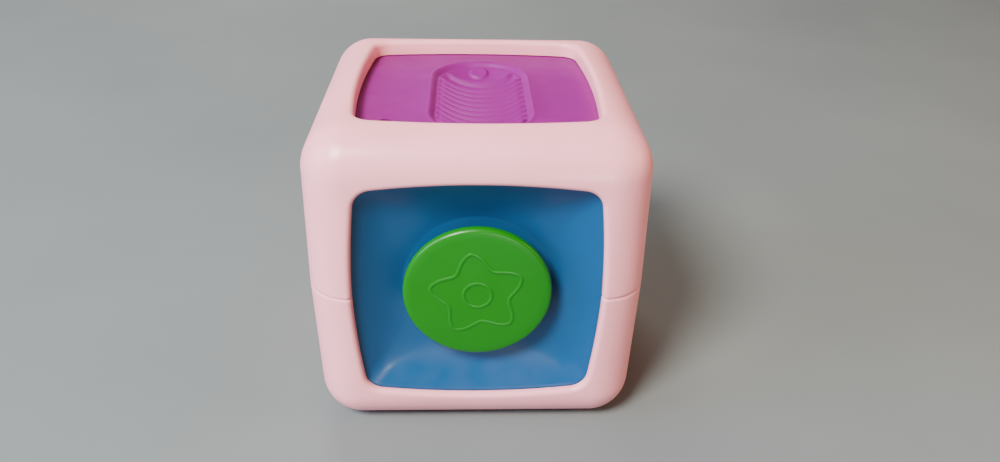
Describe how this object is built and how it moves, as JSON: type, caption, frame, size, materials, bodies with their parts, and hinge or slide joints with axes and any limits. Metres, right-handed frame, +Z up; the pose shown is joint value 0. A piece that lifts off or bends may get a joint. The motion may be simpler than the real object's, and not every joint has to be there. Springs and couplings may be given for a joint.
{
  "type": "baby activity cube",
  "caption": "Rounded toy cube in a two-part moulded frame, with a different recessed play face on each side: glide disc, ridges, rocker, rollers, dial and button.",
  "frame": {"origin": "centre of the underside, on the plane the cube rests on", "axes": "+Z up through the ridge face, -Y out of the glide disc face, +X out of the dial face"},
  "size_m": [0.09, 0.09, 0.09],
  "materials": {
    "frame_pink": "satin moulded, pale pink",
    "plastic_blue": "satin moulded, mid blue",
    "plastic_green": "gloss moulded, leaf green",
    "plastic_purple": "satin moulded, violet pink",
    "plastic_yellow": "satin moulded, warm yellow",
    "plastic_orange": "satin moulded, orange",
    "plastic_white": "natural low-friction moulding",
    "steel_screw": "zinc plated",
    "steel_part": "drawn wire and strip, bright"
  },
  "bodies": {
    "cube": {"upper_frame": "frame_pink", "lower_frame": "frame_pink", "case_screw_1": "steel_screw", "case_screw_2": "steel_screw", "case_screw_3": "steel_screw", "case_screw_4": "steel_screw", "glide_dish": "plastic_blue", "glide_plate": "plastic_white", "glide_plate_screw_1": "steel_screw", "glide_plate_screw_2": "steel_screw", "glide_plate_screw_3": "steel_screw", "glide_plate_screw_4": "steel_screw", "thumb_panel": "plastic_purple", "switch_panel": "plastic_green", "switch_pin": "steel_part", "switch_washer_1": "steel_part", "switch_washer_2": "steel_part", "roller_panel": "plastic_yellow", "roller_axle": "steel_part", "dial_panel": "plastic_orange", "dial_washer": "steel_part", "button_panel": "plastic_blue", "button_spring": "steel_part", "button_cup": "plastic_white", "button_cup_screw_1": "steel_screw", "button_cup_screw_2": "steel_screw", "button_cup_screw_3": "steel_screw"},
    "glide_cross_slide": {"glide_carriage": "plastic_white"},
    "glide_slider": {"glide_bush": "plastic_white"},
    "glide_puck": {"glide_disc": "plastic_green", "glide_screw": "steel_screw"},
    "rocker": {"switch_rocker": "plastic_blue"},
    "roller_a": {"roller_wheel_1": "plastic_purple"},
    "roller_b": {"roller_wheel_2": "plastic_blue"},
    "roller_c": {"roller_wheel_3": "plastic_green"},
    "dial": {"dial_knob": "plastic_yellow", "dial_retainer": "plastic_white", "dial_screw": "steel_screw"},
    "button": {"push_button": "plastic_orange"}
  },
  "joints": [
    {"name": "glide_sideways", "type": "slide", "parent": "cube", "child": "glide_cross_slide", "axis": [1, 0, 0], "range_m": [-0.005, 0.005]},
    {"name": "glide_up_down", "type": "slide", "parent": "glide_cross_slide", "child": "glide_slider", "axis": [0, 0, 1], "range_m": [-0.005, 0.005]},
    {"name": "disc_spin", "type": "hinge", "parent": "glide_slider", "child": "glide_puck", "pos_m": [0, -0.045, 0.045], "axis": [0, -1, 0], "continuous": true},
    {"name": "switch_tilt", "type": "hinge", "parent": "cube", "child": "rocker", "pos_m": [0, 0.034, 0.045], "axis": [1, 0, 0], "range_deg": [0, 16]},
    {"name": "roller_a_spin", "type": "hinge", "parent": "cube", "child": "roller_a", "pos_m": [-0.0275, 0.01, 0.045], "axis": [0, 1, 0], "continuous": true},
    {"name": "roller_b_spin", "type": "hinge", "parent": "cube", "child": "roller_b", "pos_m": [-0.0275, 0, 0.045], "axis": [0, 1, 0], "continuous": true},
    {"name": "roller_c_spin", "type": "hinge", "parent": "cube", "child": "roller_c", "pos_m": [-0.0275, -0.01, 0.045], "axis": [0, 1, 0], "continuous": true},
    {"name": "dial_spin", "type": "hinge", "parent": "cube", "child": "dial", "pos_m": [0.045, 0, 0.045], "axis": [1, 0, 0], "continuous": true},
    {"name": "button_press", "type": "slide", "parent": "cube", "child": "button", "axis": [0, 0, 1], "range_m": [0, 0.003], "stiffness_N_per_m": 400, "springref_m": -0.002, "deforming": ["button_spring"]}
  ]
}
